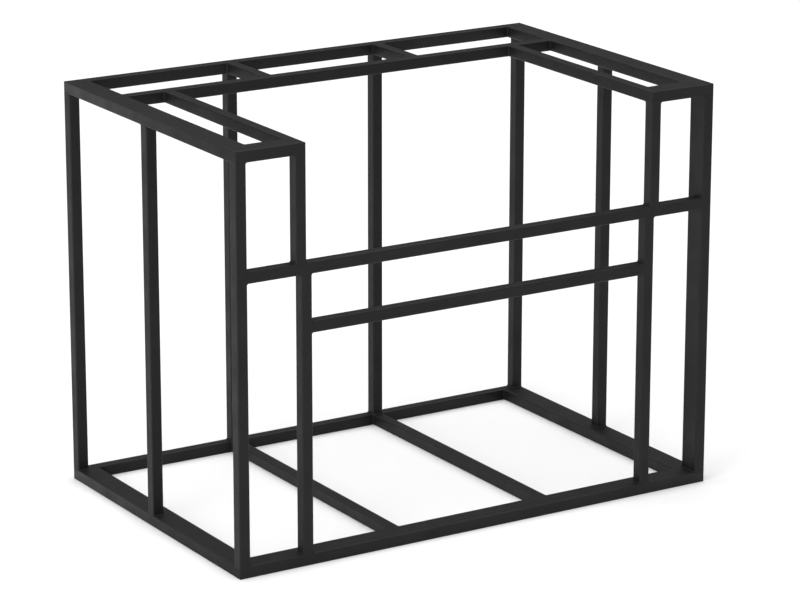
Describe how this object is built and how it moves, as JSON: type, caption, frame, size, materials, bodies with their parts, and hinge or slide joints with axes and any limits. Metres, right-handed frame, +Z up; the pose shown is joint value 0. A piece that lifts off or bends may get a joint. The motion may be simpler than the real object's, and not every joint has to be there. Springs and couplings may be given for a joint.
{
  "type": "welded tube frame",
  "caption": "Open frame of welded square steel tube with a U-shaped double-railed top, an open front bay with two front rails, and a floor ring with cross rails.",
  "frame": {"origin": "middle of the footprint, on the floor", "axes": "+X to the right along the front, +Y from front to back, +Z up"},
  "size_m": [1.1938, 0.762, 0.9144],
  "materials": {
    "powder_coated_steel": "matt dark grey powder coat"
  },
  "bodies": {
    "root": {"bottom_front_rail": "powder_coated_steel", "bottom_back_rail": "powder_coated_steel", "bottom_side_rail_left": "powder_coated_steel", "bottom_side_rail_right": "powder_coated_steel", "floor_cross_rail_left": "powder_coated_steel", "floor_cross_rail_right": "powder_coated_steel", "corner_post_front_left": "powder_coated_steel", "corner_post_front_right": "powder_coated_steel", "corner_post_back_left": "powder_coated_steel", "corner_post_back_right": "powder_coated_steel", "side_post_left": "powder_coated_steel", "side_post_right": "powder_coated_steel", "back_post_left": "powder_coated_steel", "back_post_right": "powder_coated_steel", "doorway_post_left": "powder_coated_steel", "doorway_post_right": "powder_coated_steel", "bay_post_left": "powder_coated_steel", "bay_post_right": "powder_coated_steel", "front_rail": "powder_coated_steel", "front_lower_rail": "powder_coated_steel", "top_side_rail_left": "powder_coated_steel", "top_side_rail_right": "powder_coated_steel", "top_back_rail": "powder_coated_steel", "top_front_rail_left": "powder_coated_steel", "top_front_rail_right": "powder_coated_steel", "top_inner_rail_left": "powder_coated_steel", "top_inner_rail_right": "powder_coated_steel", "top_inner_back_rail": "powder_coated_steel", "top_cross_rail_left": "powder_coated_steel", "top_cross_rail_right": "powder_coated_steel"}
  },
  "joints": []
}
